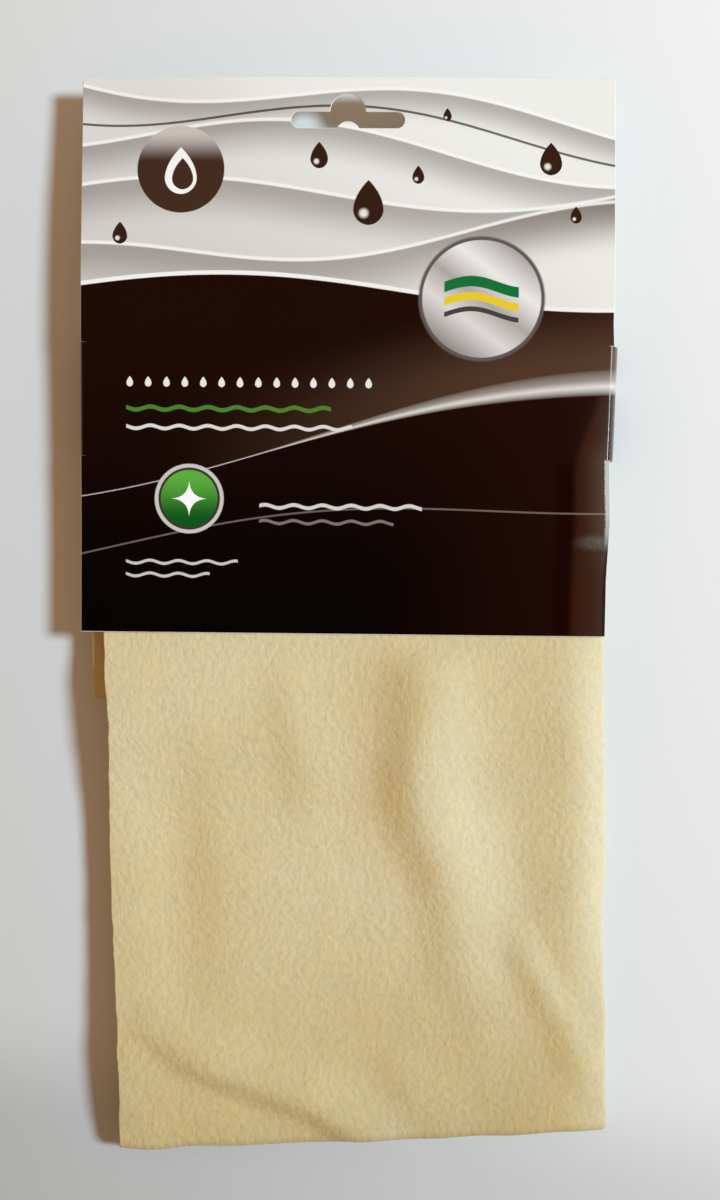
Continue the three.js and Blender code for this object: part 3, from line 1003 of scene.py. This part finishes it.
def divide_blank(bm):
    """Cuts across the flat card, close together where it will be creased or curled."""
    crease = STRAP_ROOT + CREASE_LEAD
    wall = crease + CREASE_LENGTH
    flap = wall + WALL_LENGTH + CREASE_LENGTH
    stops = list(np.arange(PANEL_STEP, FINE_FROM, PANEL_STEP))
    stops += list(np.arange(FINE_FROM, STRAP_ROOT, FINE_STEP)) + [STRAP_ROOT]
    stops += [crease + CREASE_LENGTH * step / CREASE_STEPS for step in range(CREASE_STEPS + 1)]
    stops += [wall + WALL_LENGTH * step / WALL_STEPS for step in range(1, WALL_STEPS + 1)]
    stops += [wall + WALL_LENGTH + CREASE_LENGTH * step / CREASE_STEPS
              for step in range(1, CREASE_STEPS + 1)]
    stops += list(np.arange(flap + FLAP_STEP / 2, STRAP_REACH, FLAP_STEP))
    cuts = [((side * stop, 0, 0), (1, 0, 0)) for stop in stops for side in (1, -1)]
    cuts += [((0, 0, 0), (1, 0, 0))]
    cuts += [((0, y, 0), (0, 1, 0))
             for y in np.arange(PANEL_BOTTOM + PANEL_STEP, PANEL_TOP, PANEL_STEP)]
    for place, normal in cuts:
        geometry = bm.verts[:] + bm.edges[:] + bm.faces[:]
        bmesh.ops.bisect_plane(bm, geom=geometry, plane_co=place, plane_no=normal, dist=1e-5)


def make_card():
    bm = bmesh.new()
    cut_blank(bm)
    divide_blank(bm)
    blank = bm.loops.layers.uv.new("blank")
    bm.normal_update()
    for face in bm.faces:
        face.smooth = True
        face.material_index = 0 if face.normal.z > 0.99 else 1
        for loop in face.loops:
            spot = loop.vert.co
            loop[blank].uv = (spot.x / BLANK_SPAN + 0.5, (spot.y - PANEL_BOTTOM) / BLANK_SPAN)
    for vert in bm.verts:
        vert.co = Vector(fold_card(vert.co.x, vert.co.y, -vert.co.z)) * MM
    bmesh.ops.triangulate(bm, faces=[face for face in bm.faces if len(face.verts) > 4])
    card = new_piece("card_sleeve_blank", bm, [print_finish(), board_finish()], "card_sleeve",
                     ["sleeve_front_panel", "sleeve_right_strap", "sleeve_left_strap"])
    card.data.set_sharp_from_angle(angle=math.radians(30))


# ---- the table and the room

TABLE_RADIUS = 12


def make_floor():
    """A pale table, its colour darkened to the left and below as painted shade, and far off as pale
    as the wall.
    """
    f = Finish("pale_table")
    place = f.node("ShaderNodeTexCoord", {}, out="Object")
    grain = f.clouds(place, 900.0, 3.0, 0.6)
    across, along, _ = f.parts(place)
    reach = f.node("ShaderNodeVectorMath", {"operation": "LENGTH"}, [place], "Value")
    # Painted shade: the table's colour falls off to the left and below, with a darker band along
    # the bottom.
    shaded = across * 0.811 + along * 0.316 - f.step(along + across * 0.1, -0.12, -0.16) * 0.125
    pale = 0.64 + shaded * f.fade(reach, 0.20, 0.34) + grain * 0.02
    near = f.node("ShaderNodeBsdfPrincipled", {}, {
        "Base Color": f.colour(pale, pale * 1.01, pale * 0.985),
        "Roughness": 0.8, "Specular IOR Level": 0.2})
    far = f.node("ShaderNodeEmission", {}, {"Color": PALE_WALL, "Strength": 1.0})
    share = f.step(reach, 0.3, 0.9) * f.looked_at()
    f.node("ShaderNodeOutputMaterial", {}, [f.node("ShaderNodeMixShader", {}, [share, near, far])])
    bm = bmesh.new()
    bmesh.ops.create_circle(bm, cap_ends=True, segments=96, radius=TABLE_RADIUS)
    bmesh.ops.recalc_face_normals(bm, faces=bm.faces[:])
    mesh = bpy.data.meshes.new("table")
    bm.to_mesh(mesh)
    bm.free()
    mesh.materials.append(f.material)
    floor = bpy.data.objects.new("table", mesh)
    bpy.context.scene.collection.objects.link(floor)


def make_room():
    """A warm room. A gloss or the camera sees a pale wall in it level, and a dark ceiling."""
    world = bpy.data.worlds.new("room")
    bpy.context.scene.world = world
    f = Finish("room", world)
    level = f.parts(f.node("ShaderNodeTexCoord", {}, out="Generated"))[2]
    fill = (*FILL_SHARE, 1)
    ceiling = (*[part * CEILING_SHARE for part in FILL_SHARE], 1)
    dim = f.mix(f.step(level, 0.55, 0.9), fill, ceiling)
    seen = f.mix(f.step(level, 0.25, 0.55), PALE_WALL, dim)
    colour = f.mix(f.looked_at(), fill, seen)
    shine = f.node("ShaderNodeBackground", {}, {"Color": colour, "Strength": 1.0})
    f.node("ShaderNodeOutputWorld", {}, [shine])


make_camera()
make_lights()
make_room()
make_floor()
make_leather()
make_card()

bpy.context.scene.view_settings.view_transform = "Standard"
